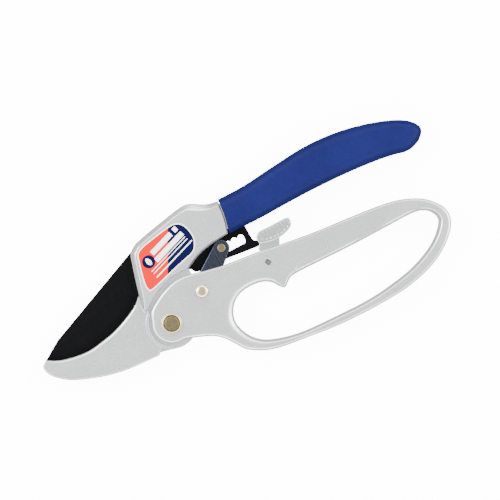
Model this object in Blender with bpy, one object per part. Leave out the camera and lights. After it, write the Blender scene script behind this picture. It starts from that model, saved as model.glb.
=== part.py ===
"""Bypass pruning shears with a ratchet link and a closed finger guard.

The shears lie flat with their front face up. X runs from the jaw to the handle ends, Y towards
the gripped upper handle, Z out of the front face. The origin is on the main pivot, in the plane
of the lower handle's back face. Sizes below are in millimetres and MM turns them into metres.
"""

import math

import bmesh
import bpy

MM = 0.001

# Reach of the three long parts from the main pivot, and where the last two start to stretch.
JAW_REACH = 63.8
LOOP_REACH = 139.6
LOOP_START = 60.0
GRIP_REACH = 145.5
GRIP_START = 54.0

# Pivots and the first notch of the blade's slot, jaws shut.
MAIN_PIVOT = (0.0, 0.0)
BLADE_PIVOT = (5.9, 24.9)
LINK_PIVOT = (19.3, 7.3)
LOCK_PIVOT = (53.2, 6.0)
HOME_NOTCH = (36.4, 21.6)

# Motion: degrees of the lower handle, and what the blade and the link turn for each of them.
OPEN_ANGLE = 36.0
BLADE_RATIO = 0.778
LINK_RATIO = 0.528

# Layers through the thickness.
CHEEK = 2.6
LINK_PLATE = 1.6
BLADE_THICKNESS = 2.6
GAP = 0.3
HEAD_RISE = 1.4
HOOK_DROP = 1.4
WASHER = 0.6
LABEL_THICKNESS = 0.3
LABEL_PROUD = 0.1
GRIP_THICKNESS = 14.0
GRIP_WALL = 1.8
SLEEVE_PLUG = 11.0
TANG_SHORT = 15.0

# Radii of the shanks and pins, and of what goes round each of them.
LOBE_RADIUS = 9.5
RING_RADIUS = LOBE_RADIUS + 1.4
TOE_RADIUS = LOBE_RADIUS + 2.6
MAIN_SHANK = 3.0
MAIN_BUSH = MAIN_SHANK + 1.1
MAIN_HEAD = MAIN_SHANK + 2.0
MAIN_CENTRE = MAIN_SHANK + 0.5
BLADE_SHANK = 2.5
BLADE_HEAD = BLADE_SHANK + 1.4
BLADE_WASHER = BLADE_HEAD + 1.3
BLADE_HUB = BLADE_WASHER + 3.8
LINK_SHANK = 2.0
LINK_HEAD = LINK_SHANK + 1.2
LINK_BUSH = LINK_SHANK + 1.1
LINK_FOOT = LINK_SHANK + 3.2
PIN_RADIUS = 1.0
PIN_HEAD = PIN_RADIUS + 1.0
LINK_TOP = PIN_RADIUS + 2.8
NOTCH_RADIUS = PIN_RADIUS + 0.4
LANE_DEPTH = 1.7
LOCK_SHANK = 1.45

# The toe under the tongue, and how far past it the handle's channel is open.
TOE_ANGLE = -60.0
TOE_MARGIN = 3.0

# Heights and depths of the heads and the lock's pad.
HEAD_HEIGHT = 1.4
PEEN_HEIGHT = 1.1
PEEN_SUNK = 0.1
PIN_SUNK = 0.7
PAD_INSET = 1.2

# Roundings of the castings and the sleeve.
CASTING_ROUND = 1.2
HEAD_ROUND = 1.2
GRIP_ROUND = 3.6
PAD_ROUND = 0.8

# Springs: wire, mean radius of the coil, and turns. The link's spring fills the blade's thickness.
OPENING_WIRE = 1.2
OPENING_COIL = MAIN_BUSH + 2.3
OPENING_TURNS = 1.8
LINK_WIRE = 0.8
LOCK_WIRE = 0.6
LOCK_COIL = LOCK_SHANK + 1.45
LOCK_TURNS = 1.6
COIL_GAP = 0.12
COIL_SEAT = 0.15

# Making: how far a cutter runs past the face it opens, and which points count as one.
PAST = 1.0
SAME_POINT = 0.002

# Heights worked out from the layers.
LINK_BACK = CHEEK + GAP
BLADE_BACK = LINK_BACK + LINK_PLATE + GAP
BLADE_FRONT = BLADE_BACK + BLADE_THICKNESS
PLATE_BACK = BLADE_FRONT + GAP
LINK_FRONT = PLATE_BACK + LINK_PLATE
CHEEK_BACK = LINK_FRONT + GAP
BODY_FRONT = CHEEK_BACK + CHEEK
HEAD_FRONT = BODY_FRONT + HEAD_RISE
HOOK_FRONT = BODY_FRONT - HOOK_DROP


# ---------------------------------------------------------------- shapes in the plane

def smooth(points, step=3.0, closed=False):
    """Points along the smooth curve that runs through the given ones."""
    count = len(points)
    spans = count if closed else count - 1
    result = []
    for i in range(spans):
        p0 = points[(i - 1) % count] if closed or i > 0 else points[0]
        p1 = points[i]
        p2 = points[(i + 1) % count]
        p3 = points[(i + 2) % count] if closed or i + 2 < count else points[-1]
        pieces = max(1, round(math.dist(p1, p2) / step))
        for k in range(pieces):
            t = k / pieces
            result.append(tuple(
                0.5 * (2 * b + (c - a) * t + (2 * a - 5 * b + 4 * c - d) * t ** 2
                       + (3 * b - a - 3 * c + d) * t ** 3)
                for a, b, c, d in zip(p0, p1, p2, p3)
            ))
    if not closed:
        result.append(tuple(points[-1]))
    return result


def arc(centre, radius, start, end, step=12.0):
    """Points along an arc, from the start angle to the end angle in degrees."""
    pieces = max(2, math.ceil(abs(end - start) / step))
    angles = [math.radians(start + (end - start) * k / pieces) for k in range(pieces + 1)]
    return [(centre[0] + radius * math.cos(a), centre[1] + radius * math.sin(a)) for a in angles]


def circle(centre, radius, count=28, start=0.0):
    return arc(centre, radius, start, start + 360.0 * (count - 1) / count, 360.0 / count)


def area(loop):
    return sum(a[0] * b[1] - b[0] * a[1] for a, b in zip(loop, loop[1:] + loop[:1])) / 2


def wound(loop, inside_left=True):
    """The loop with its material on the left hand as it runs."""
    return list(loop) if (area(loop) > 0) == inside_left else list(reversed(loop))


def inset(loop, distance):
    """The loop moved by the distance to its left hand."""
    moved = []
    for i, (x, y) in enumerate(loop):
        before = loop[i - 1]
        after = loop[(i + 1) % len(loop)]
        a = math.atan2(y - before[1], x - before[0])
        b = math.atan2(after[1] - y, after[0] - x)
        turn = math.atan2(math.sin(b - a), math.cos(b - a))
        normal = a + turn / 2 + math.pi / 2
        reach = distance / max(math.cos(turn / 2), 0.5)
        moved.append((x + reach * math.cos(normal), y + reach * math.sin(normal)))
    return moved


def turned_by(point, centre, degrees):
    """The point turned counter-clockwise about the centre."""
    c = math.cos(math.radians(degrees))
    s = math.sin(math.radians(degrees))
    x = point[0] - centre[0]
    y = point[1] - centre[1]
    return (centre[0] + c * x - s * y, centre[1] + s * x + c * y)


def strap(start, start_radius, end, end_radius):
    """Outline of a strap with a round end about each of two points."""
    line = math.degrees(math.atan2(end[1] - start[1], end[0] - start[0]))
    lean = math.degrees(math.acos((start_radius - end_radius) / math.dist(start, end)))
    foot = arc(start, start_radius, line + lean, line + 360.0 - lean)
    return foot + arc(end, end_radius, line - lean, line + lean)


# ---------------------------------------------------------------- solids

def finished(name, bm, material):
    bmesh.ops.remove_doubles(bm, verts=bm.verts, dist=SAME_POINT * MM)
    bmesh.ops.recalc_face_normals(bm, faces=bm.faces)
    mesh = bpy.data.meshes.new(name)
    bm.to_mesh(mesh)
    bm.free()
    mesh.shade_smooth()
    mesh.set_sharp_from_angle(angle=math.radians(32))
    obj = bpy.data.objects.new(name, mesh)
    bpy.context.scene.collection.objects.link(obj)
    if material:
        mesh.materials.append(material)
    return obj


def slab(name, outline, back, front, material=None, holes=(), rounding=0.0, back_rounding=None,
         steps=2):
    """A plate between two heights, with holes, and with its rims rounded by the given radii."""
    if back_rounding is None:
        back_rounding = rounding
    levels = []
    for radius, rim, side in ((back_rounding, back, 1), (rounding, front, -1)):
        turns = [math.pi / 2 * k / steps for k in range(steps + 1)] if radius else [math.pi / 2]
        ring = [(radius * (1 - math.sin(a)), rim + side * radius * (1 - math.cos(a))) for a in turns]
        levels += ring if side == 1 else ring[::-1]
    bm = bmesh.new()
    rims = {0: [], len(levels) - 1: []}
    for number, loop in enumerate([outline, *holes]):
        loop = wound(loop, number == 0)
        rings = []
        for distance, height in levels:
            points = inset(loop, distance) if distance else loop
            rings.append([bm.verts.new((x * MM, y * MM, height * MM)) for x, y in points])
        for low, high in zip(rings, rings[1:]):
            for i in range(len(loop)):
                bm.faces.new((low[i - 1], low[i], high[i], high[i - 1]))
        for level in rims:
            ring = rings[level]
            rims[level] += [bm.edges.get((ring[i - 1], ring[i])) for i in range(len(ring))]
    for edges in rims.values():
        bmesh.ops.triangle_fill(bm, use_beauty=True, use_dissolve=False, edges=edges)
    return finished(name, bm, material)


def lathe(name, centre, profile, material=None, count=28):
    """A turned solid about a vertical line: the profile is a closed loop of (radius, height)."""
    bm = bmesh.new()
    rings = []
    for x, y in circle((0.0, 0.0), 1.0, count):
        rings.append([
            bm.verts.new(((centre[0] + radius * x) * MM, (centre[1] + radius * y) * MM, height * MM))
            for radius, height in profile
        ])
    for i in range(count):
        for k in range(len(profile)):
            on_axis = profile[k - 1][0] == profile[k][0] == 0.0
            if not on_axis:
                bm.faces.new((rings[i - 1][k - 1], rings[i - 1][k], rings[i][k], rings[i][k - 1]))
    bmesh.ops.remove_doubles(bm, verts=bm.verts, dist=SAME_POINT * MM)
    bmesh.ops.dissolve_degenerate(bm, dist=SAME_POINT * MM, edges=bm.edges)
    return finished(name, bm, material)


def tube(name, points, radius, material, sides=8):
    """A round wire along a path of points (x, y, z)."""
    curve = bpy.data.curves.new(name, "CURVE")
    curve.dimensions = "3D"
    curve.bevel_depth = radius * MM
    curve.bevel_resolution = (sides - 4) // 2
    curve.use_fill_caps = True
    spline = curve.splines.new("POLY")
    spline.points.add(len(points) - 1)
    for target, point in zip(spline.points, points):
        target.co = (point[0] * MM, point[1] * MM, point[2] * MM, 1.0)
    curve.materials.append(material)
    obj = bpy.data.objects.new(name, curve)
    bpy.context.scene.collection.objects.link(obj)
    return obj


def combine(target, other, operation):
    """Adds the other solid to the target, or takes it away, and hides it."""
    other.hide_render = True
    other.display_type = "WIRE"
    boolean = target.modifiers.new(other.name, "BOOLEAN")
    boolean.operation = operation
    boolean.solver = "EXACT"
    boolean.object = other


def add(target, other):
    combine(target, other, "UNION")


def cut(target, other):
    combine(target, other, "DIFFERENCE")


def bore(target, centre, radius, back, front):
    cut(target, slab(target.name + ".bore", circle(centre, radius, start=5.0), back, front))


def coil_height(wire, turns):
    """Height of a close-wound coil of the wire."""
    return wire + (wire + COIL_GAP) * turns


def coil(centre, radius, wire, back, turns, start):
    """Path of a close-wound coil, from its back turn to its front turn."""
    pieces = round(turns * 14)
    path = []
    for k in range(pieces + 1):
        angle = math.radians(start + 360.0 * turns * k / pieces)
        height = back + wire / 2 + (wire + COIL_GAP) * turns * k / pieces
        path.append((centre[0] + radius * math.cos(angle), centre[1] + radius * math.sin(angle), height))
    return path


def paint(name, rgb, roughness, metallic):
    material = bpy.data.materials.new(name)
    material.use_nodes = True
    shader = material.node_tree.nodes["Principled BSDF"]
    shader.inputs["Base Color"].default_value = (*rgb, 1.0)
    shader.inputs["Roughness"].default_value = roughness
    shader.inputs["Metallic"].default_value = metallic
    material.diffuse_color = (*rgb, 1.0)
    return material


# ---------------------------------------------------------------- outlines

def at_jaw(share, y):
    """A point at a share of the way from the main pivot to the jaw's tip."""
    return (-share * JAW_REACH, y)


def at_guard(share, y):
    """A point at a share of the way from the lock to the end of the finger guard."""
    return (LOOP_START + share * (LOOP_REACH - LOOP_START), y)


def at_grip(share, y):
    """A point at a share of the way from the tail slot to the end of the upper handle."""
    return (GRIP_START + share * (GRIP_REACH - GRIP_START), y)


def lower_handle_outline():
    lobe = arc(MAIN_PIVOT, LOBE_RADIUS, -78.0, -208.0, 20.0)
    back = [(-6.4, 9.2), (-2.3, 12.4), (2.9, 15.1), (9.4, 17.1), (15.5, 17.2), (21.7, 16.1)]
    back += [(35.9, 13.7), (50.7, 12.3)]
    back += [at_guard(0.03, 10.9), at_guard(0.25, 9.1), at_guard(0.46, 8.1), at_guard(0.62, 7.2)]
    end = [at_guard(0.72, 6.2), at_guard(0.82, 4.1), at_guard(0.905, 0.6), at_guard(0.965, -3.7)]
    end += [at_guard(0.998, -9.8), at_guard(0.975, -16.7), at_guard(0.92, -21.7)]
    front = [at_guard(0.78, -28.9), at_guard(0.56, -33.7), at_guard(0.26, -35.3)]
    front += [(53.6, -34.1), (42.0, -32.8), (35.7, -31.4), (30.6, -29.3), (26.0, -26.0)]
    front += [(22.6, -21.8), (19.2, -17.4), (14.8, -14.0), (9.0, -11.7)]
    return smooth(lobe + back + end + front, closed=True)


def finger_opening():
    near = [(27.0, -13.0), (28.4, -7.2), (32.0, -2.9), (38.0, -0.9), (45.5, -1.0), (50.3, -3.2)]
    spur = [(52.8, -6.6), (54.9, -8.4), (57.0, -7.2)]
    back = [at_guard(0.0, -4.9), at_guard(0.06, -4.3), at_guard(0.28, -4.3), at_guard(0.5, -3.8)]
    back += [at_guard(0.72, -3.2), at_guard(0.805, -3.0)]
    end = [at_guard(0.87, -4.0), at_guard(0.916, -6.6), at_guard(0.937, -11.4)]
    front = [at_guard(0.886, -16.6), at_guard(0.73, -24.5), at_guard(0.515, -29.1)]
    front += [at_guard(0.253, -31.1), (58.5, -31.1), (48.6, -30.1), (40.0, -28.0)]
    front += [(33.6, -25.0), (29.0, -20.0)]
    return smooth(near + spur + back + end + front, closed=True)


def jaw_edge():
    """The hook's inner edge, from its tip to its root."""
    return [at_jaw(0.945, 10.2), at_jaw(0.867, 7.6), at_jaw(0.759, 5.9), at_jaw(0.641, 5.4),
            at_jaw(0.538, 6.3), at_jaw(0.43, 8.0), at_jaw(0.326, 10.5), at_jaw(0.23, 13.4)]


def hook_outline():
    root = [(-11.0, 15.9), (-8.6, 18.6)]
    ring = arc(MAIN_PIVOT, RING_RADIUS, 132.0, 222.0)
    bottom = [(-12.0, -11.2), at_jaw(0.404, -10.8), at_jaw(0.649, -8.2), at_jaw(0.824, -4.3)]
    tip = [at_jaw(0.917, -0.6), at_jaw(0.97, 2.6), at_jaw(0.995, 5.6), at_jaw(0.996, 8.4)]
    edge = smooth([*bottom, *tip, at_jaw(0.975, 10.1), *jaw_edge(), *root])
    return edge + ring


def head_outline():
    rim = [(42.0, 26.3), (43.4, 31.0), (44.1, 37.0), (44.2, 42.0)]
    top = [(40.8, 42.6), (37.4, 43.8), (33.4, 46.1), (30.0, 47.4), (25.4, 47.1), (16.8, 45.1)]
    top += [(8.2, 43.1), (1.1, 41.0)]
    nose = [(-3.3, 38.0), (-4.6, 33.5), (-6.6, 25.2), (-8.4, 17.6), (-9.9, 11.4)]
    recess = [(-9.2, 8.8), (-6.3, 11.1), (-2.0, 14.4), (3.2, 17.2), (8.7, 19.0), (13.5, 19.5), (18.4, 19.5)]
    lower = [(22.3, 21.7), (27.2, 23.8), (32.4, 25.1)]
    return smooth(rim) + smooth(top) + smooth(nose) + smooth(recess) + smooth(lower)


def grip_outline(front=44.6):
    """The sleeve's outline, with its open front end at the given X."""
    top = [at_grip(0.0, 43.0), at_grip(0.1, 43.8), at_grip(0.23, 45.6), at_grip(0.41, 47.4)]
    top += [at_grip(0.57, 47.1), at_grip(0.73, 44.7), at_grip(0.876, 40.7), at_grip(0.964, 36.5)]
    end = [at_grip(1.0, 31.4), at_grip(0.975, 27.4), at_grip(0.92, 24.8), at_grip(0.87, 24.3)]
    bottom = [at_grip(0.82, 25.2), at_grip(0.71, 26.6), at_grip(0.55, 27.3), at_grip(0.38, 27.5)]
    bottom += [at_grip(0.21, 27.0), at_grip(0.1, 26.4), at_grip(0.0, 26.0)]
    return smooth(top + end + bottom) + [(front, 26.1), (front, 42.5)]


def grip_front():
    """The sleeve's curved front rim, from its lower side to its upper one."""
    return [(42.7, 20.0), (42.9, 26.0), (43.9, 32.0), (44.6, 37.6), (44.7, 50.0)]


def pin_path(count=9):
    """Places of the notch pin on the blade as the handle opens, from the home notch to the far one."""
    path = []
    for k in range(count):
        handle = OPEN_ANGLE * k / (count - 1)
        pin = turned_by(HOME_NOTCH, LINK_PIVOT, LINK_RATIO * handle)
        pin = turned_by(pin, MAIN_PIVOT, -handle)
        path.append(turned_by(pin, BLADE_PIVOT, BLADE_RATIO * handle))
    return path


def slot_outline():
    """The lane that the pin runs in, opened on its back side into a row of round notches."""
    path = pin_path()
    upper = [(x, y + PIN_RADIUS + GAP) for x, y in path]
    lower = [(x, y - PIN_RADIUS - LANE_DEPTH) for x, y in path]
    home = arc(path[0], NOTCH_RADIUS, 90.0, 225.0, 30.0)
    far = arc(path[-1], NOTCH_RADIUS, -20.0, 90.0, 30.0)
    return home + lower[1:] + far + upper[-2:0:-1]


def blade_outline():
    spine = [at_jaw(0.959, 9.9), at_jaw(0.818, 16.2), (-3.3, 38.4)]
    shoulder = smooth([(-3.3, 38.4), (0.5, 39.0), (6.0, 37.2), (14.0, 33.2), (30.0, 29.6), (50.2, 28.4)])
    tip = [(50.9, 27.4), (51.2, 19.2), (51.9, 17.9), (53.3, 17.4), (53.4, 14.9), (52.4, 14.5)]
    bottom = smooth([(52.4, 14.5), (37.2, 15.6), (27.0, 18.2), (20.0, 21.0)])
    hub = arc(BLADE_PIVOT, BLADE_HUB, -38.0, -110.0)
    edge = smooth([
        (-3.4, 16.4), (-9.5, 13.5), at_jaw(0.23, 10.4), at_jaw(0.326, 7.6), at_jaw(0.43, 5.2),
        at_jaw(0.538, 3.6), at_jaw(0.641, 2.9), at_jaw(0.759, 3.4), at_jaw(0.867, 5.6),
        at_jaw(0.959, 9.9),
    ])
    return spine[1:-1] + shoulder + tip + bottom[1:] + hub + edge


# ---------------------------------------------------------------- sub-parts

def upper_handle_casting(silver):
    body = slab("upper_handle_casting", head_outline(), PLATE_BACK, HEAD_FRONT, silver,
                rounding=HEAD_ROUND, back_rounding=0.0)
    add(body, slab("hook", hook_outline(), PLATE_BACK, HOOK_FRONT, rounding=CASTING_ROUND,
                   back_rounding=0.0))
    floor = [(18.3, 19.8), (18.3, 15.0), (8.0, 8.0), (-8.0, 4.0), (-12.5, 4.0), (-12.5, 15.0), (-4.0, 19.0)]
    add(body, slab("recess_floor", floor, PLATE_BACK, LINK_FRONT))
    toe = arc(MAIN_PIVOT, TOE_RADIUS, TOE_ANGLE, -108.0)
    neck = [*toe, (-12.0, -9.8), (-24.0, -9.6), (-26.0, -4.0), (-17.0, 3.0), (-10.0, 6.0)]
    add(body, slab("tongue_neck", neck, LINK_BACK, LINK_FRONT))
    add(body, slab("tongue", circle(MAIN_PIVOT, LOBE_RADIUS), LINK_BACK, LINK_FRONT))

    wall = GRIP_WALL + GAP
    tang = [p for p in inset(wound(grip_outline(34.0)), wall) if p[0] < GRIP_REACH - TANG_SHORT]
    add(body, slab("tang", tang, wall, GRIP_THICKNESS - wall, rounding=GRIP_ROUND - wall))
    tail_room = [(30.0, 20.0), (GRIP_START - GAP, 20.0), (GRIP_START - GAP, 30.4), (30.0, 30.4)]
    cut(body, slab("tail_room", tail_room, 0.0, PLATE_BACK))

    bore(body, MAIN_PIVOT, MAIN_BUSH + GAP, 0.0, HEAD_FRONT)
    bore(body, BLADE_PIVOT, BLADE_SHANK + GAP, 0.0, HEAD_FRONT + PAST)
    bore(body, BLADE_PIVOT, BLADE_WASHER + GAP, 0.0, PLATE_BACK + WASHER + GAP)
    bore(body, BLADE_PIVOT, BLADE_HEAD + GAP, blade_rivet_top() - HEAD_HEIGHT, HEAD_FRONT + PAST)
    pocket = inset(wound(label_outline()), -GAP)
    label_back = HEAD_FRONT + LABEL_PROUD - LABEL_THICKNESS
    cut(body, slab("label_pocket", pocket, label_back - GAP, HEAD_FRONT + PAST))
    outer = circle(MAIN_PIVOT, OPENING_COIL + OPENING_WIRE / 2 + GAP)
    inner = circle(MAIN_PIVOT, OPENING_COIL - OPENING_WIRE / 2 - GAP)
    spring_top = LINK_BACK + COIL_SEAT + coil_height(OPENING_WIRE, OPENING_TURNS)
    cut(body, slab("spring_pocket", outer, 0.0, spring_top + GAP, holes=[inner]))
    return body


def label_outline():
    points = [(0.4, 36.4), (4.1, 38.1), (18.5, 41.0), (23.6, 39.7), (26.2, 34.2), (26.2, 30.0)]
    points += [(23.1, 25.7), (12.6, 22.6), (-0.7, 18.7), (-2.6, 20.0), (-2.4, 24.4)]
    return smooth(points, closed=True)


def label(vinyl):
    front = HEAD_FRONT + LABEL_PROUD
    return slab("label", label_outline(), front - LABEL_THICKNESS, front, vinyl)


def grip_sleeve(vinyl):
    sleeve = slab("grip_sleeve", grip_outline(30.0), 0.0, GRIP_THICKNESS, vinyl,
                  rounding=GRIP_ROUND, steps=3)
    inner = inset(wound(grip_outline(20.0)), GRIP_WALL)
    inner = [p for p in inner if p[0] < GRIP_REACH - SLEEVE_PLUG]
    cut(sleeve, slab("sleeve_cavity", inner, GRIP_WALL, GRIP_THICKNESS - GRIP_WALL,
                     rounding=GRIP_ROUND - GRIP_WALL))
    before_rim = [*grip_front(), (10.0, 50.0), (10.0, 20.0)]
    cut(sleeve, slab("before_rim", before_rim, -PAST, GRIP_THICKNESS + PAST))
    mouth = [(38.0, 22.0), (GRIP_START, 22.0), (GRIP_START, 30.0), (38.0, 30.0)]
    cut(sleeve, slab("tail_slot", mouth, BLADE_BACK - GAP, BLADE_FRONT + GAP))
    return sleeve


def blade(steel):
    body = slab("blade", blade_outline(), BLADE_BACK, BLADE_FRONT, steel)
    cut(body, slab("blade_slot", slot_outline(), 0.0, HEAD_FRONT))
    path = pin_path()
    for k in range(4):
        centre = path[round(k * (len(path) - 1) / 3)]
        bore(body, centre, NOTCH_RADIUS, 0.0, HEAD_FRONT)
    bore(body, BLADE_PIVOT, BLADE_SHANK + GAP, 0.0, HEAD_FRONT)
    return body


def lower_handle_casting(silver):
    body = slab("lower_handle_casting", lower_handle_outline(), 0.0, BODY_FRONT, silver,
                holes=[finger_opening()], rounding=CASTING_ROUND)
    wall = TOE_RADIUS + 2 * GAP
    toe_end = TOE_ANGLE + OPEN_ANGLE + TOE_MARGIN
    mouth = [(-15.0, 24.0), (-15.0, -16.0), turned_by((wall, 0.0), MAIN_PIVOT, -112.0)]
    round_wall = arc(MAIN_PIVOT, wall, -100.0, toe_end)
    inner = LOBE_RADIUS + 2 * GAP
    round_wall += arc(MAIN_PIVOT, inner, toe_end, 12.0)
    foot = LINK_FOOT + 2 * GAP
    link_bay = arc(LINK_PIVOT, foot, -160.0, -20.0)
    lock_bay = [(33.0, 8.0), (46.5, 7.4)]
    lock_bay += arc(LOCK_PIVOT, LOCK_COIL + LOCK_WIRE + 2 * GAP, -165.0, -15.0)
    channel = mouth + round_wall + link_bay + lock_bay + [(62.0, 9.0), (67.0, 14.0), (67.0, 24.0)]
    cut(body, slab("channel", channel, CHEEK, CHEEK_BACK))
    for centre, shank in ((MAIN_PIVOT, MAIN_SHANK), (LINK_PIVOT, LINK_SHANK), (LOCK_PIVOT, LOCK_SHANK)):
        bore(body, centre, shank + GAP, -PAST, BODY_FRONT + PAST)
    for centre, head in ((MAIN_PIVOT, MAIN_HEAD), (LINK_PIVOT, LINK_HEAD)):
        bore(body, centre, head + GAP, -PAST, PEEN_HEIGHT + GAP)
    return body


def link_pivot_rivet(steel):
    """A rivet with a flat back head sunk in the casting and a domed head in front of it."""
    seat = BODY_FRONT + GAP
    dome = [(LINK_HEAD * math.cos(a), seat + HEAD_HEIGHT * (0.25 + 0.75 * math.sin(a)))
            for a in (0.0, 0.4, 0.8, 1.2)]
    profile = [(0.0, PEEN_SUNK), (LINK_HEAD, PEEN_SUNK), (LINK_HEAD, PEEN_HEIGHT), (LINK_SHANK, PEEN_HEIGHT)]
    profile += [(LINK_SHANK, seat), (LINK_HEAD, seat), *dome, (0.0, seat + HEAD_HEIGHT)]
    return lathe("link_pivot_rivet", LINK_PIVOT, profile, steel)


def main_pivot_rivet(steel):
    """Shouldered rivet whose flat end shows in the middle of the cup washer."""
    seat = BODY_FRONT + GAP
    top = seat + HEAD_HEIGHT
    profile = [(0.0, 0.0), (MAIN_HEAD, 0.0), (MAIN_HEAD, PEEN_HEIGHT), (MAIN_SHANK, PEEN_HEIGHT)]
    profile += [(MAIN_SHANK, seat + 0.5), (MAIN_CENTRE, seat + 0.9), (MAIN_CENTRE, top)]
    profile += [(MAIN_CENTRE - 0.2, top + 0.1), (0.0, top + 0.1)]
    return lathe("main_pivot_rivet", MAIN_PIVOT, profile, steel)


def main_cup_washer(steel):
    seat = BODY_FRONT + GAP
    inner = MAIN_CENTRE + GAP
    throat = MAIN_SHANK + GAP
    profile = [(throat, seat), (MAIN_HEAD, seat), (MAIN_HEAD, seat + 0.5), (MAIN_HEAD - 0.35, seat + 1.15)]
    profile += [(inner + 0.25, seat + HEAD_HEIGHT + 0.15), (inner, seat + HEAD_HEIGHT - 0.05)]
    profile += [(inner, seat + 0.6), (throat, seat + 0.2)]
    return lathe("main_cup_washer", MAIN_PIVOT, profile, steel)


def ring(name, centre, inner, outer, back, front, steel):
    profile = [(inner, back), (outer, back), (outer, front), (inner, front)]
    return lathe(name, centre, profile, steel)


def blade_rivet_top():
    """Height of the blade rivet's flat head, a gap below the floor of the label's pocket."""
    return HEAD_FRONT - LABEL_THICKNESS - GAP


def blade_pivot_rivet(steel):
    """Flush under the label in front, domed behind the blade."""
    top = blade_rivet_top()
    collar = BLADE_BACK - GAP - WASHER - GAP
    profile = [(0.0, collar - HEAD_HEIGHT), (BLADE_HEAD * 0.7, collar - HEAD_HEIGHT * 0.8)]
    profile += [(BLADE_HEAD, collar - 0.4), (BLADE_HEAD, collar), (BLADE_SHANK, collar)]
    profile += [(BLADE_SHANK, top - HEAD_HEIGHT + GAP), (BLADE_HEAD, top - HEAD_HEIGHT + GAP)]
    profile += [(BLADE_HEAD, top), (0.0, top)]
    return lathe("blade_pivot_rivet", BLADE_PIVOT, profile, steel)


def notch_pin(steel):
    back = LINK_BACK - GAP
    front = LINK_FRONT + GAP
    profile = [(0.0, back - 1.1), (PIN_HEAD * 0.75, back - 0.9), (PIN_HEAD, back - 0.4), (PIN_HEAD, back)]
    profile += [(PIN_RADIUS, back), (PIN_RADIUS, front), (PIN_HEAD, front), (PIN_HEAD, front + 0.4)]
    profile += [(PIN_HEAD * 0.75, front + 0.9), (0.0, front + 1.1)]
    return lathe("notch_pin", HOME_NOTCH, profile, steel, count=20)


def link_plate(name, back, steel):
    outline = strap(LINK_PIVOT, LINK_FOOT, HOME_NOTCH, LINK_TOP)
    holes = [circle(LINK_PIVOT, LINK_SHANK + GAP, 20), circle(HOME_NOTCH, PIN_RADIUS + GAP, 16)]
    return slab(name, outline, back, back + LINK_PLATE, steel, holes=holes)


def thumb_lock(chrome):
    pad = smooth([(53.2, 16.0), (53.3, 19.0), (54.8, 20.6)])[:-1]
    pad += smooth([(54.8, 20.6), (69.7, 21.2), (71.4, 20.0), (71.4, 17.4), (68.9, 15.6), (63.0, 13.9)])
    pad += [(58.0, 13.9), (54.4, 14.8)]
    lock = slab("thumb_lock", pad, PAD_INSET, BODY_FRONT - PAD_INSET, chrome, rounding=PAD_ROUND)
    stem = arc(LOCK_PIVOT, LOCK_SHANK + GAP + 1.5, 150.0, 345.0, 20.0)
    stem += [(61.9, 11.4), (63.4, 14.6), (60.0, 17.0), (52.6, 16.4), (51.7, 13.4), (51.9, 11.0)]
    add(lock, slab("stem", stem, LINK_BACK, LINK_FRONT))
    spring_top = LINK_BACK + COIL_SEAT + coil_height(LOCK_WIRE, LOCK_TURNS)
    under = circle(LOCK_PIVOT, LOCK_COIL + LOCK_WIRE / 2 + GAP)
    cut(lock, slab("spring_room", under, 0.0, spring_top + GAP))
    bore(lock, LOCK_PIVOT, LOCK_SHANK + GAP, 0.0, BODY_FRONT)
    catch = [(50.0, 30.0), (50.0, 12.9), (57.0, 12.9), (57.0, 18.1), (54.0, 18.1), (54.0, 30.0)]
    cut(lock, slab("tip_room", catch, BLADE_BACK - GAP, BLADE_FRONT + GAP))
    return lock


def lock_pin(steel):
    back = PIN_SUNK
    front = BODY_FRONT - PIN_SUNK
    profile = [(0.0, back), (LOCK_SHANK, back), (LOCK_SHANK, front), (0.0, front)]
    return lathe("lock_pin", LOCK_PIVOT, profile, steel, count=20)


def opening_spring(wire):
    path = coil(MAIN_PIVOT, OPENING_COIL, OPENING_WIRE, LINK_BACK + COIL_SEAT, OPENING_TURNS, 20.0)
    return tube("opening_spring", path, OPENING_WIRE / 2, wire)


def link_spring(wire):
    radius = LINK_BUSH + LINK_WIRE / 2 + GAP
    turns = (BLADE_THICKNESS - LINK_WIRE - 2 * COIL_SEAT) / (LINK_WIRE + COIL_GAP)
    path = coil(LINK_PIVOT, radius, LINK_WIRE, BLADE_BACK + COIL_SEAT, turns, 200.0)
    return tube("link_spring", path, LINK_WIRE / 2, wire)


def lock_spring(wire):
    path = coil(LOCK_PIVOT, LOCK_COIL, LOCK_WIRE, LINK_BACK + COIL_SEAT, LOCK_TURNS, 10.0)
    return tube("lock_spring", path, LOCK_WIRE / 2, wire)


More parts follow.
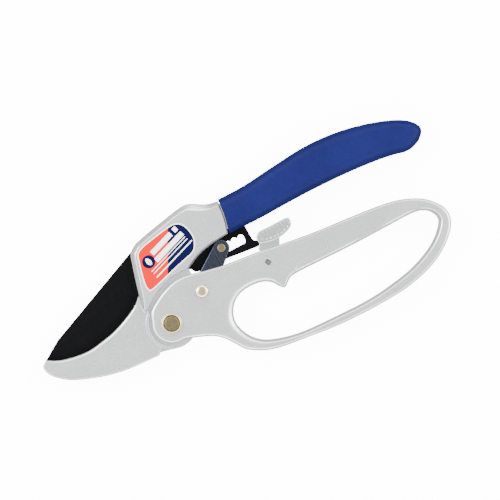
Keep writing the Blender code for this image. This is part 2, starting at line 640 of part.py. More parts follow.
def main():
    for obj in list(bpy.data.objects):
        bpy.data.objects.remove(obj, do_unlink=True)
    silver = paint("silver_enamel", (0.62, 0.62, 0.61), 0.38, 0.55)
    blue = paint("blue_vinyl", (0.02, 0.045, 0.27), 0.45, 0.0)
    black = paint("black_coating", (0.006, 0.006, 0.007), 0.35, 0.0)
    nickel = paint("nickel_plate", (0.66, 0.6, 0.48), 0.25, 1.0)
    zinc = paint("zinc_steel", (0.2, 0.22, 0.25), 0.35, 1.0)
    chrome = paint("bright_zinc", (0.72, 0.73, 0.74), 0.2, 1.0)
    printed = paint("printed_vinyl", (0.8, 0.04, 0.03), 0.4, 0.0)
    spring = paint("spring_steel", (0.3, 0.3, 0.31), 0.3, 1.0)

    upper_handle_casting(silver)
    label(printed)
    grip_sleeve(blue)
    blade(black)
    lower_handle_casting(silver)
    main_pivot_rivet(nickel)
    main_cup_washer(nickel)
    ring("main_pivot_bush", MAIN_PIVOT, MAIN_SHANK + GAP, MAIN_BUSH, LINK_BACK, LINK_FRONT, zinc)
    blade_pivot_rivet(zinc)
    ring("blade_thrust_washer", BLADE_PIVOT, BLADE_SHANK + GAP, BLADE_WASHER, PLATE_BACK,
         PLATE_BACK + WASHER, zinc)
    ring("blade_back_washer", BLADE_PIVOT, BLADE_SHANK + GAP, BLADE_WASHER,
         BLADE_BACK - GAP - WASHER, BLADE_BACK - GAP, zinc)
    link_plate("link_back_plate", LINK_BACK, zinc)
    link_plate("link_front_plate", PLATE_BACK, zinc)
    ring("link_bush", LINK_PIVOT, LINK_SHANK + GAP, LINK_BUSH, BLADE_BACK, BLADE_FRONT, zinc)
    notch_pin(nickel)
    link_pivot_rivet(nickel)
    thumb_lock(chrome)
    lock_pin(zinc)
    opening_spring(spring)
    link_spring(spring)
    lock_spring(spring)


main()
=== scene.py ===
"""Ratchet pruning shears, lying on a light table with the jaws shut.

Sizes are in millimetres and MM turns them into metres. X runs from the jaw to the handle ends,
Y towards the gripped upper handle, and Z out of the front face.
"""

import math

import bmesh
import bpy
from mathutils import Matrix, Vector


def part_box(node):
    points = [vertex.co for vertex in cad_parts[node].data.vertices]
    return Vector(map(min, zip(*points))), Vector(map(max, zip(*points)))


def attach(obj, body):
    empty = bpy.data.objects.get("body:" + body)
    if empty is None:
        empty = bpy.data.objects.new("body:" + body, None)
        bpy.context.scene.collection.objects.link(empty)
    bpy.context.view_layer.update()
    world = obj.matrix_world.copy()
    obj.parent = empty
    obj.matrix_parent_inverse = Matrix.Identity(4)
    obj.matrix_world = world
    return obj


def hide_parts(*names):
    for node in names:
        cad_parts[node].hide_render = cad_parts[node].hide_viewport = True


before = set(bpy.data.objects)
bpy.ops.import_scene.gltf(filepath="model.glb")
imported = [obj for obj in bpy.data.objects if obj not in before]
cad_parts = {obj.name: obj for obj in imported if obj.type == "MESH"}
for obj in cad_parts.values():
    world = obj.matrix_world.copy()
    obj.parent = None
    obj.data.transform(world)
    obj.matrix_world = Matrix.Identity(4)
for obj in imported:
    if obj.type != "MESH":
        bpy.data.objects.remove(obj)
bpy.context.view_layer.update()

MM = 0.001

MAIN_PIVOT = (0.0, 0.0)
BLADE_PIVOT = (5.9, 24.9)
LINK_PIVOT = (19.3, 7.3)
LOCK_PIVOT = (53.2, 6.0)
NOTCH = (36.4, 21.6)

# Heights of the layers, taken from the loaded frame.
BODY_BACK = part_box("lower_handle_casting")[0].z / MM
BODY_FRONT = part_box("lower_handle_casting")[1].z / MM
HEAD_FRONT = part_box("upper_handle_casting")[1].z / MM
BLADE_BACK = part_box("blade")[0].z / MM
BLADE_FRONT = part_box("blade")[1].z / MM
PLATE_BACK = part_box("link_front_plate")[0].z / MM
PLATE_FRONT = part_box("link_front_plate")[1].z / MM
TONGUE_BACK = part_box("link_back_plate")[0].z / MM
GRIP_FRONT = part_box("grip_sleeve")[1].z / MM
LABEL_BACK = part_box("label")[0].z / MM
LABEL_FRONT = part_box("label")[1].z / MM
LOCK_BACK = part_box("thumb_lock")[0].z / MM
LOCK_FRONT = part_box("thumb_lock")[1].z / MM
CHEEK = 2.6
HOOK_FRONT = BODY_FRONT - 1.4
WASHER_SEAT = BODY_FRONT + 0.3
LOBE_RADIUS = 9.5

# A cutting tool stands this far out of the faces that it goes through.
PAST = 1.0
# Room beside the blade where it runs in a slot.
BLADE_ROOM = 0.3
# Sharp corners are mitred by no less than this cosine.
MITRE_LIMIT = 0.6
# Points this close in height lie on the same face, and points this close together are one.
SAME_LEVEL = 0.001
SAME_POINT = 0.004
# A face looks straight up when the height of its normal is above this.
FACING_UP = 0.9
# How strongly large flat faces set the shading beside them.
FACE_WEIGHT = 80


# ---------------------------------------------------------------- outlines

def smooth(points, step=1.4, closed=False):
    """Points along the smooth curve through the given (x, y, roll) points."""
    count = len(points)
    result = []
    for i in range(count if closed else count - 1):
        p0 = points[(i - 1) % count] if closed or i > 0 else points[0]
        p1 = points[i]
        p2 = points[(i + 1) % count]
        p3 = points[(i + 2) % count] if closed or i + 2 < count else points[-1]
        pieces = max(1, round(math.dist(p1[:2], p2[:2]) / step))
        for k in range(pieces):
            t = k / pieces
            result.append(tuple(
                0.5 * (2 * b + (c - a) * t + (2 * a - 5 * b + 4 * c - d) * t ** 2
                       + (3 * b - a - 3 * c + d) * t ** 3)
                for a, b, c, d in zip(p0, p1, p2, p3)
            ))
    if not closed:
        result.append(tuple(points[-1]))
    return result


def rolled(points, roll):
    """The points, each with the width of the rounding beside it."""
    return [(point[0], point[1], roll) for point in points]


def arc(centre, radius, start, end, roll=0.0, step=7.5):
    """Points from one angle to another, in degrees, with both ends."""
    pieces = max(2, math.ceil(abs(end - start) / step))
    angles = [math.radians(start + (end - start) * k / pieces) for k in range(pieces + 1)]
    points = [(centre[0] + radius * math.cos(a), centre[1] + radius * math.sin(a)) for a in angles]
    return rolled(points, roll)


def circle(centre, radius, count=40):
    """A closed ring of points, begun 4 degrees round so that none lies on an axis."""
    return arc(centre, radius, 4.0, 364.0 - 360.0 / count, 0.0, 360.0 / count)


def area(loop):
    """Signed area, which is above 0 for a loop that runs anticlockwise."""
    return sum(a[0] * b[1] - b[0] * a[1] for a, b in zip(loop, loop[1:] + loop[:1])) / 2


def wound(loop, solid_inside):
    """The loop run anticlockwise round material, or clockwise round an opening."""
    return list(loop) if (area(loop) > 0) == solid_inside else list(reversed(loop))


def inset(loop, share, extra):
    """The loop moved into the material by a share of each point's roll and an extra width."""
    moved = []
    for i, (x, y, roll) in enumerate(loop):
        before = loop[i - 1]
        after = loop[(i + 1) % len(loop)]
        a = math.atan2(y - before[1], x - before[0])
        b = math.atan2(after[1] - y, after[0] - x)
        turn = math.atan2(math.sin(b - a), math.cos(b - a))
        normal = a + turn / 2 + math.pi / 2
        reach = (share * roll + extra) / max(math.cos(turn / 2), MITRE_LIMIT)
        moved.append((x + reach * math.cos(normal), y + reach * math.sin(normal)))
    return moved


def strip(line, half):
    """A closed outline that keeps half a width to each side of an open line."""
    sides = ([], [])
    for i, (x, y, roll) in enumerate(line):
        before = line[max(i - 1, 0)]
        after = line[min(i + 1, len(line) - 1)]
        normal = math.atan2(after[1] - before[1], after[0] - before[0]) + math.pi / 2
        for side, reach in zip(sides, (half, -half)):
            side.append((x + reach * math.cos(normal), y + reach * math.sin(normal), roll))
    return sides[0] + sides[1][::-1]


# ---------------------------------------------------------------- ways of making a piece

def select_only(*objects):
    """Selects these objects and nothing else, with the first one active."""
    bpy.ops.object.select_all(action="DESELECT")
    for obj in objects:
        obj.select_set(True)
    bpy.context.view_layer.objects.active = objects[0]


def edit(obj, kind="VERT"):
    """Opens the object in edit mode and gives its mesh."""
    select_only(obj)
    bpy.ops.object.mode_set(mode="EDIT")
    bpy.ops.mesh.select_mode(type=kind)
    return bmesh.from_edit_mesh(obj.data)


def leave():
    """Closes edit mode."""
    bpy.ops.object.mode_set(mode="OBJECT")


def start_ring(name, count):
    """A plain ring of points, each of which is then laid in its own place."""
    bpy.ops.object.select_all(action="DESELECT")
    bpy.ops.mesh.primitive_circle_add(vertices=count, radius=10 * MM)
    obj = bpy.context.object
    obj.name = name
    return obj


def rim_levels(back, front, depth=1.2, back_depth=0.8, back_width=0.8, steps=5):
    """Levels of a rounded rim from the back face to the front face.

    Each level is its share of the outline's roll, its extra width and its height.
    """
    turns = [math.pi / 2 * k / steps for k in range(steps + 1)]
    levels = [(0.0, 0.0, back)]
    if back_width:
        levels = [(0.0, back_width * (1 - math.sin(a)), back + back_depth * (1 - math.cos(a))) for a in turns]
    levels += [(1 - math.sin(a), 0.0, front - depth * (1 - math.cos(a))) for a in reversed(turns)]
    return levels


def square_levels(back, front):
    """Levels of an edge that stands straight up."""
    return [(0.0, 0.0, back), (0.0, 0.0, front)]


def raise_rim(name, loop, levels):
    """A ring of edges laid along the outline and extruded up the levels of its rim."""
    obj = start_ring(name, len(loop))
    share, extra, height = levels[0]
    for vertex, (x, y) in zip(obj.data.vertices, inset(loop, share, extra)):
        vertex.co = (x * MM, y * MM, height * MM)
    edit(obj)
    bpy.ops.mesh.select_all(action="SELECT")
    for share, extra, height in levels[1:]:
        bpy.ops.mesh.extrude_region_move()
        mesh = bmesh.from_edit_mesh(obj.data)
        mesh.verts.ensure_lookup_table()
        for vertex, (x, y) in zip(mesh.verts[-len(loop):], inset(loop, share, extra)):
            vertex.co = (x * MM, y * MM, height * MM)
        bmesh.update_edit_mesh(obj.data)
    leave()
    return obj


def plate(name, rims):
    """A plate filled at both faces.

    The first pair of an outline and its levels is the edge, and each later pair is an opening.
    """
    pieces = []
    for number, (loop, levels) in enumerate(rims):
        pieces.append(raise_rim(name, wound(loop, number == 0), levels))
    obj = pieces[0]
    select_only(*pieces)
    bpy.ops.object.join()
    for height in (rims[0][1][0][2], rims[0][1][-1][2]):
        mesh = edit(obj, "EDGE")
        bpy.ops.mesh.select_all(action="DESELECT")
        for edge in mesh.edges:
            level = all(abs(v.co.z - height * MM) < SAME_LEVEL * MM for v in edge.verts)
            edge.select_set(level and edge.is_boundary)
        bpy.ops.mesh.fill(use_beauty=True)
        leave()
    edit(obj)
    bpy.ops.mesh.select_all(action="SELECT")
    bpy.ops.mesh.normals_make_consistent(inside=False)
    leave()
    return obj


def prism(name, points, back, front):
    """A straight-sided block on an outline."""
    return plate(name, [(rolled(points, 0.0), square_levels(back, front))])


def turned(name, centre, profile, steps=64):
    """A turned piece: a closed profile of radii and heights, spun about an upright axis."""
    obj = start_ring(name, len(profile))
    for vertex, (radius, height) in zip(obj.data.vertices, profile):
        vertex.co = ((centre[0] + radius) * MM, centre[1] * MM, height * MM)
    edit(obj)
    bpy.ops.mesh.select_all(action="SELECT")
    axis = (centre[0] * MM, centre[1] * MM, 0.0)
    bpy.ops.mesh.spin(steps=steps, angle=2 * math.pi, center=axis, axis=(0, 0, 1))
    bpy.ops.mesh.select_all(action="SELECT")
    bpy.ops.mesh.remove_doubles(threshold=SAME_POINT * MM)
    bpy.ops.mesh.dissolve_degenerate(threshold=SAME_POINT * MM)
    bpy.ops.mesh.select_all(action="SELECT")
    bpy.ops.mesh.delete_loose()
    bpy.ops.mesh.select_all(action="SELECT")
    bpy.ops.mesh.normals_make_consistent(inside=False)
    leave()
    return obj


def dome(radius, back, front, count=7):
    """Profile points of a domed rim from its edge to its crown."""
    turns = [math.pi / 2 * k / count for k in range(count + 1)]
    return [(radius * math.cos(a), back + (front - back) * math.sin(a)) for a in turns]


def combine(obj, other, operation):
    """Applies a boolean of the other object, which is used up."""
    select_only(obj)
    bpy.ops.object.modifier_add(type="BOOLEAN")
    boolean = obj.modifiers[-1]
    boolean.operation = operation
    boolean.solver = "EXACT"
    boolean.object = other
    bpy.ops.object.modifier_apply(modifier=boolean.name)
    bpy.data.objects.remove(other)


def weld(obj, other):
    """Makes the other object part of this one."""
    combine(obj, other, "UNION")


def cut(obj, other):
    """Takes the other object out of this one."""
    combine(obj, other, "DIFFERENCE")


def soften(obj, width, segments, angle):
    """Rounds the sharp edges that cutting left."""
    select_only(obj)
    bpy.ops.object.modifier_add(type="BEVEL")
    bevel = obj.modifiers[-1]
    bevel.width = width * MM
    bevel.segments = segments
    bevel.limit_method = "ANGLE"
    bevel.angle_limit = math.radians(angle)
    bevel.use_clamp_overlap = False
    bpy.ops.object.modifier_apply(modifier=bevel.name)


def finish_piece(obj, material, body, node, angle=38.0):
    """Smooths the piece, gives it its finish, and puts it on its body in place of the CAD node."""
    select_only(obj)
    bpy.ops.object.shade_smooth_by_angle(angle=math.radians(angle))
    bpy.ops.object.modifier_add(type="WEIGHTED_NORMAL")
    weighted = obj.modifiers[-1]
    weighted.keep_sharp = True
    weighted.weight = FACE_WEIGHT
    bpy.ops.object.modifier_apply(modifier=weighted.name)
    obj.data.materials.clear()
    obj.data.materials.append(material)
    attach(obj, body)
    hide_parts(node)


# ---------------------------------------------------------------- finishes

def linear(code):
    """A colour written as sRGB hex, turned linear."""
    values = [int(code[k:k + 2], 16) / 255 for k in (1, 3, 5)]
    return tuple(v / 12.92 if v <= 0.04045 else ((v + 0.055) / 1.055) ** 2.4 for v in values) + (1.0,)


def add(material, kind, inputs=None, **settings):
    """Adds one node, with its settings, and its sockets filled with values or with other sockets."""
    node = material.node_tree.nodes.new(kind)
    for key, value in settings.items():
        setattr(node, key, value)
    for socket, value in (inputs or {}).items():
        if isinstance(value, bpy.types.NodeSocket):
            material.node_tree.links.new(value, node.inputs[socket])
        else:
            node.inputs[socket].default_value = value
    return node


def new_finish(name, constants):
    """A material and its shader, with the values that are the same all over the surface."""
    material = bpy.data.materials.new(name)
    material.use_nodes = True
    shader = material.node_tree.nodes["Principled BSDF"]
    for socket, value in constants.items():
        shader.inputs[socket].default_value = value
    return material, shader


def connect(material, output, shader, socket):
    """Links a pattern to one of the shader's sockets."""
    material.node_tree.links.new(output, shader.inputs[socket])


def grain_of(size):
    """Noise scale on Object coordinates for a grain of that size in millimetres."""
    return 1.0 / (size * MM)


def silver_enamel():
    # Aluminium-flake lacquer sprayed on a die casting: satin, a fine sparkle and a faint cloudiness.
    constants = {"Metallic": 0.85, "Coat Weight": 0.25, "Coat Roughness": 0.2}
    material, shader = new_finish("silver_enamel", constants)
    place = add(material, "ShaderNodeTexCoord").outputs["Object"]
    # Flakes are about 0.05 mm, drawn at 0.55 mm so that they show. The spray's clouds are 14 mm.
    flake = add(material, "ShaderNodeTexNoise", {"Vector": place, "Scale": grain_of(0.55), "Detail": 2.0})
    cloud = add(material, "ShaderNodeTexNoise", {"Vector": place, "Scale": grain_of(14.0), "Detail": 3.0})
    both = {0: flake.outputs["Fac"], 1: cloud.outputs["Fac"]}
    tone = add(material, "ShaderNodeMath", both, operation="ADD")
    spread = {"Value": tone.outputs[0], "From Min": 0.6, "From Max": 1.4}
    shade = add(material, "ShaderNodeMapRange", spread)
    tones = {"Factor": shade.outputs[0], 6: linear("#CBCCCF"), 7: linear("#DFE0E2")}
    colour = add(material, "ShaderNodeMix", tones, data_type="RGBA")
    connect(material, colour.outputs[2], shader, "Base Color")
    rough = {"Value": flake.outputs["Fac"], "From Min": 0.3, "From Max": 0.7, "To Min": 0.24, "To Max": 0.34}
    gloss = add(material, "ShaderNodeMapRange", rough)
    connect(material, gloss.outputs[0], shader, "Roughness")
    height = {"Height": flake.outputs["Fac"], "Strength": 0.12, "Distance": 0.02 * MM}
    bump = add(material, "ShaderNodeBump", height)
    connect(material, bump.outputs[0], shader, "Normal")
    return material


def blue_vinyl():
    # PVC plastisol, dipped and cured: satin, thick, and finely pebbled.
    constants = {"Roughness": 0.5, "IOR": 1.53, "Specular IOR Level": 0.08}
    material, shader = new_finish("blue_vinyl", constants)
    place = add(material, "ShaderNodeTexCoord").outputs["Object"]
    # Pebble of 0.4 mm, drawn at 0.8 mm. The dip's faint clouds are 18 mm.
    pebble = add(material, "ShaderNodeTexNoise", {"Vector": place, "Scale": grain_of(0.8), "Detail": 2.0})
    cloud = add(material, "ShaderNodeTexNoise", {"Vector": place, "Scale": grain_of(18.0), "Detail": 2.0})
    both = {0: pebble.outputs["Fac"], 1: cloud.outputs["Fac"]}
    tone = add(material, "ShaderNodeMath", both, operation="ADD")
    spread = {"Value": tone.outputs[0], "From Min": 0.65, "From Max": 1.35}
    shade = add(material, "ShaderNodeMapRange", spread)
    tones = {"Factor": shade.outputs[0], 6: linear("#0A0E3C"), 7: linear("#0E1349")}
    colour = add(material, "ShaderNodeMix", tones, data_type="RGBA")
    connect(material, colour.outputs[2], shader, "Base Color")
    height = {"Height": pebble.outputs["Fac"], "Strength": 0.35, "Distance": 0.06 * MM}
    bump = add(material, "ShaderNodeBump", height)
    connect(material, bump.outputs[0], shader, "Normal")
    return material


def black_coating():
    # Fluoropolymer baked on ground steel: near black, satin, with the grinding lines just felt through it.
    constants = {"IOR": 1.35, "Specular IOR Level": 0.1}
    material, shader = new_finish("black_coating", constants)
    place = add(material, "ShaderNodeTexCoord").outputs["Object"]
    # The lines run square to the edge, at 65 degrees, and each is 20 times as long as it is wide.
    laid = {"Vector": place, "Rotation": (0.0, 0.0, math.radians(65.0)), "Scale": (1.0, 0.05, 1.0)}
    along = add(material, "ShaderNodeMapping", laid).outputs[0]
    # Grinding lines of 0.2 mm, drawn at 0.5 mm.
    lines = add(material, "ShaderNodeTexNoise", {"Vector": along, "Scale": grain_of(0.5), "Detail": 2.0})
    grain = add(material, "ShaderNodeTexNoise", {"Vector": place, "Scale": grain_of(0.5), "Detail": 2.0})
    tones = {"Factor": grain.outputs["Fac"], 6: linear("#020203"), 7: linear("#070708")}
    colour = add(material, "ShaderNodeMix", tones, data_type="RGBA")
    connect(material, colour.outputs[2], shader, "Base Color")
    rough = {"Value": lines.outputs["Fac"], "From Min": 0.3, "From Max": 0.7, "To Min": 0.36, "To Max": 0.5}
    gloss = add(material, "ShaderNodeMapRange", rough)
    connect(material, gloss.outputs[0], shader, "Roughness")
    height = {"Height": lines.outputs["Fac"], "Strength": 0.1, "Distance": 0.01 * MM}
    bump = add(material, "ShaderNodeBump", height)
    connect(material, bump.outputs[0], shader, "Normal")
    return material


def plated(name, dark, light, roughness, grain, strength=0.15, stretch=1.0, turn=0.0):
    """A plated or drawn metal whose fine marks run along one direction when stretched.

    The real marks are 0.02 to 0.1 mm wide. Each grain size is as coarse as its marks need to show.
    """
    material, shader = new_finish(name, {"Metallic": 1.0})
    place = add(material, "ShaderNodeTexCoord").outputs["Object"]
    laid = {"Vector": place, "Rotation": (0.0, 0.0, math.radians(turn)), "Scale": (1.0, stretch, 1.0)}
    along = add(material, "ShaderNodeMapping", laid).outputs[0]
    marks = add(material, "ShaderNodeTexNoise", {"Vector": along, "Scale": grain_of(grain), "Detail": 3.0})
    tones = {"Factor": marks.outputs["Fac"], 6: linear(dark), 7: linear(light)}
    colour = add(material, "ShaderNodeMix", tones, data_type="RGBA")
    connect(material, colour.outputs[2], shader, "Base Color")
    rough = {"Value": marks.outputs["Fac"], "From Min": 0.3, "From Max": 0.7}
    rough.update({"To Min": roughness * 0.8, "To Max": roughness * 1.25})
    gloss = add(material, "ShaderNodeMapRange", rough)
    connect(material, gloss.outputs[0], shader, "Roughness")
    height = {"Height": marks.outputs["Fac"], "Strength": strength, "Distance": 0.03 * MM}
    bump = add(material, "ShaderNodeBump", height)
    connect(material, bump.outputs[0], shader, "Normal")
    return material


def print_bar(material, u, v, middle, half):
    """Mask of a printed bar on the label, 1 inside it."""
    sides = []
    for value, centre, reach in ((u, middle[0], half[0]), (v, middle[1], half[1])):
        offset = add(material, "ShaderNodeMath", {0: value, 1: centre}, operation="SUBTRACT")
        size = add(material, "ShaderNodeMath", {0: offset.outputs[0]}, operation="ABSOLUTE")
        side = add(material, "ShaderNodeMath", {0: size.outputs[0], 1: reach}, operation="LESS_THAN")
        sides.append(side.outputs[0])
    return add(material, "ShaderNodeMath", {0: sides[0], 1: sides[1]}, operation="MULTIPLY").outputs[0]


def print_disc(material, u, v, middle, radius):
    """Mask of a printed disc on the label, 1 inside it."""
    point = add(material, "ShaderNodeCombineXYZ", {"X": u, "Y": v})
    ends = {0: point.outputs[0], 1: (*middle, 0.0)}
    away = add(material, "ShaderNodeVectorMath", ends, operation="DISTANCE").outputs["Value"]
    return add(material, "ShaderNodeMath", {0: away, 1: radius}, operation="LESS_THAN").outputs[0]


# Clear laminate over the vinyl.
LAMINATE = {"Roughness": 0.32, "IOR": 1.5, "Specular IOR Level": 0.08}
RED_INK = "#C80302"
NAVY_INK = "#05072E"
WHITE_INK = "#F8F7F4"


def label_print():
    # Gloss-laminated vinyl, printed red and navy, with a plain leaf and plain bars in white.
    material, shader = new_finish("label_print", LAMINATE)
    place = add(material, "ShaderNodeTexCoord").outputs["Object"]
    # The print is laid out in millimetres from the label's middle, turned to run with the handle.
    spot = add(material, "ShaderNodeMapping", {"Vector": place, "Location": (-13.9 * MM, -30.0 * MM, 0.0)})
    turn = {"Vector": spot.outputs[0], "Rotation": (0.0, 0.0, math.radians(-20.6)), "Scale": (1000.0,) * 3}
    laid = add(material, "ShaderNodeMapping", turn)
    axes = add(material, "ShaderNodeSeparateXYZ", {0: laid.outputs[0]})
    u, v = axes.outputs[0], axes.outputs[1]
    # Red on the nose's side of a slanted line, and navy past it.
    lean = add(material, "ShaderNodeMath", {0: v, 1: 1.057, 2: -1.64}, operation="MULTIPLY_ADD")
    past = add(material, "ShaderNodeMath", {0: u, 1: lean.outputs[0]}, operation="GREATER_THAN")
    layers = [(NAVY_INK, past.outputs[0])]
    bars = [((0.2, 5.95), (6.4, 1.2)), ((9.4, 5.95), (1.0, 1.2)), ((1.65, 2.3), (8.9, 1.2))]
    bars += [((-1.1, 0.2), (11.3, 0.17)), ((-1.1, -1.2), (11.3, 0.17)), ((-0.75, -3.35), (12.0, 0.26))]
    for middle, half in bars:
        layers.append((WHITE_INK, print_bar(material, u, v, middle, half)))
    layers.append((NAVY_INK, print_disc(material, u, v, (-10.0, 4.4), 3.05)))
    # The leaf is where two discs overlap, with a thin navy rib.
    one = print_disc(material, u, v, (-8.6, 4.4), 2.5)
    two = print_disc(material, u, v, (-11.4, 4.4), 2.5)
    leaf = add(material, "ShaderNodeMath", {0: one, 1: two}, operation="MULTIPLY")
    layers.append((WHITE_INK, leaf.outputs[0]))
    layers.append((NAVY_INK, print_bar(material, u, v, (-10.0, 3.7), (0.14, 1.6))))
    colour = linear(RED_INK)
    for ink, mask in layers:
        inks = {"Factor": mask, 6: colour, 7: linear(ink)}
        colour = add(material, "ShaderNodeMix", inks, data_type="RGBA").outputs[2]
    # Ink mottle of 0.4 mm, drawn at 0.7 mm.
    mottle = add(material, "ShaderNodeTexNoise", {"Vector": place, "Scale": grain_of(0.7), "Detail": 2.0})
    spread = {"Value": mottle.outputs["Fac"], "To Min": 0.92, "To Max": 1.04}
    dim = add(material, "ShaderNodeMapRange", spread)
    toned = add(material, "ShaderNodeVectorMath", {0: colour, "Scale": dim.outputs[0]}, operation="SCALE")
    connect(material, toned.outputs[0], shader, "Base Color")
    height = {"Height": mottle.outputs["Fac"], "Strength": 0.05, "Distance": 0.01 * MM}
    bump = add(material, "ShaderNodeBump", height)
    connect(material, bump.outputs[0], shader, "Normal")
    return material


def label_border():
    # The unprinted white edge of the same vinyl, with the same mottle.
    material, shader = new_finish("label_border", LAMINATE)
    place = add(material, "ShaderNodeTexCoord").outputs["Object"]
    mottle = add(material, "ShaderNodeTexNoise", {"Vector": place, "Scale": grain_of(0.7), "Detail": 2.0})
    tones = {"Factor": mottle.outputs["Fac"], 6: linear("#EDEBE7"), 7: linear("#F6F5F2")}
    colour = add(material, "ShaderNodeMix", tones, data_type="RGBA")
    connect(material, colour.outputs[2], shader, "Base Color")
    return material


SILVER = silver_enamel()
BLUE = blue_vinyl()
BLACK = black_coating()
# Nickel with a warm cast, tumbled bright.
NICKEL = plated("warm_nickel", "#D8C59A", "#EEDFBC", 0.16, 0.6)
# The cropped end of the main rivet: duller and darker than the washer round it.
RIVET_END = plated("rivet_end", "#5E563F", "#7A7054", 0.4, 0.5, 0.4)
# Zinc on blanked steel plate, passivated blue-grey, with rolling marks along the link.
ZINC_PLATE = plated("zinc_plate", "#282D38", "#4A505D", 0.26, 0.5, 0.25, 0.08, -53.0)
# Bright zinc die casting, vibrated and chromed.
CHROME = plated("bright_chrome", "#D6DAD8", "#F0F3F2", 0.17, 0.9, 0.2)
# Turned steel pin, cropped and rough on its end.
PIN_STEEL = plated("pin_steel", "#55565F", "#8F9098", 0.4, 0.7, 0.6)
# Drawn spring wire with lines along it.
WIRE = plated("spring_wire", "#7C7D80", "#A2A3A6", 0.3, 0.5, 0.2)
PRINT = label_print()
BORDER = label_border()


# ---------------------------------------------------------------- lower handle

def guard_edge():
    """The outer edge of the lower handle, from the lobe round the finger guard."""
    lobe = arc(MAIN_PIVOT, LOBE_RADIUS, -78.0, -208.0, 1.7, 13.0)
    back = [(-6.6, 9.0, 1.7), (-2.3, 12.3, 1.6), (2.9, 15.1, 1.5), (9.4, 17.2, 1.5), (15.5, 17.3, 1.4)]
    back += rolled([(21.7, 16.0), (28.8, 14.7), (35.9, 13.6), (50.7, 12.4), (62.5, 10.9), (79.8, 9.1)], 1.0)
    back += rolled([(96.7, 8.1), (109.2, 7.2), (117.4, 6.2), (125.0, 4.1)], 1.2)
    end = rolled([(132.0, 0.6), (136.5, -3.7), (139.0, -7.8), (139.4, -12.4), (137.6, -16.7)], 1.6)
    end += rolled([(133.4, -21.5), (127.8, -25.8), (122.0, -28.9)], 1.5)
    bow = rolled([(114.7, -31.5), (104.9, -33.7), (93.0, -34.8), (80.7, -35.25), (66.9, -35.0)], 1.4)
    bow += rolled([(53.6, -33.8), (42.0, -32.7)], 1.6)
    bow += [(35.7, -31.3, 2.0), (30.6, -29.2, 2.4), (26.0, -26.2, 2.6), (22.7, -22.0, 2.4)]
    bow += [(19.2, -17.4, 2.2), (14.8, -14.0, 2.1), (9.0, -11.6, 1.9)]
    return smooth(lobe + back + end + bow, closed=True)


def finger_opening():
    """The opening's edge, with a wide roll where the index finger sits."""
    near = [(27.0, -13.0, 4.4), (28.6, -7.2, 4.2), (32.4, -2.9, 3.8), (37.9, -0.8, 3.6), (45.3, -0.9, 3.2)]
    near += [(50.3, -3.1, 2.4), (52.8, -6.3, 1.4)]
    spur = [(54.9, -8.3, 0.9), (57.0, -7.0, 1.3), (59.8, -4.9, 1.8)]
    back = rolled([(64.5, -4.4), (73.2, -4.3), (90.7, -4.2)], 1.9)
    back += rolled([(108.2, -3.6), (117.1, -3.2), (124.1, -3.1)], 1.9)
    end = rolled([(129.2, -4.0), (132.9, -6.6), (134.4, -11.2)], 1.4)
    bow = rolled([(130.5, -16.6), (125.0, -20.9), (118.1, -24.4), (110.8, -27.0), (101.0, -29.1)], 1.4)
    bow += rolled([(90.7, -30.6), (80.1, -31.1), (58.5, -31.0), (48.6, -30.1)], 1.4)
    bow += [(40.0, -28.0, 1.7), (33.8, -25.0, 2.6), (29.3, -20.0, 3.8)]
    return smooth(near + spur + back + end + bow, closed=True)


def lower_handle():
    """The casting with the finger guard: two cheeks, a channel between them, and its bores."""
    edge_levels = rim_levels(BODY_BACK, BODY_FRONT, 1.3, 1.2, 1.2)
    opening_levels = rim_levels(BODY_BACK, BODY_FRONT, 2.0, 1.2, 1.2)
    handle = plate("lower_handle", [(guard_edge(), edge_levels), (finger_opening(), opening_levels)])
    # Room between the cheeks for the tongue, the link and the thumb lock.
    channel = [(-15.0, 24.0), (-15.0, -16.0)]
    channel += arc(MAIN_PIVOT, 12.7, -112.0, -21.0) + arc(MAIN_PIVOT, 10.1, -21.0, 12.0)
    channel += arc(LINK_PIVOT, 5.8, -160.0, -20.0) + [(33.0, 8.0), (46.5, 7.4)]
    channel += arc(LOCK_PIVOT, 4.1, -165.0, -15.0) + [(62.0, 9.0), (67.0, 14.0), (67.0, 24.0)]
    cut(handle, prism("channel", channel, CHEEK, BODY_FRONT - CHEEK))
    # Each rivet's head sinks into the back. The lock's pin is a plain one.
    head_depth = 1.5
    for pivot, shank, head in ((MAIN_PIVOT, 3.3, 5.3), (LINK_PIVOT, 2.3, 3.5), (LOCK_PIVOT, 1.5, None)):
        cut(handle, prism("bore", circle(pivot, shank), BODY_BACK - PAST, BODY_FRONT + PAST))
        if head:
            cut(handle, prism("counterbore", circle(pivot, head), BODY_BACK - PAST, head_depth))
    # Scored line that parts the flat cheek from the rounded grip zone: a groove with a narrow floor.
    line = [(62.4, -4.0), (63.6, -2.4), (66.2, -0.9), (70.0, -0.2), (83.3, -1.4), (100.0, -2.7)]
    line += [(109.1, -1.9), (116.6, -0.8), (122.5, -1.0), (128.7, -2.7)]
    crease = smooth(rolled(line, 0.0), 2.0)
    half, depth = 0.35, 0.4
    groove = [(0.0, half - 0.05, BODY_FRONT - depth), (0.0, 0.0, BODY_FRONT), (0.0, 0.0, BODY_FRONT + PAST)]
    cut(handle, plate("crease", [(strip(crease, half), groove)]))
    finish_piece(handle, SILVER, "lower_handle", "lower_handle_casting")


lower_handle()


# ---------------------------------------------------------------- upper handle

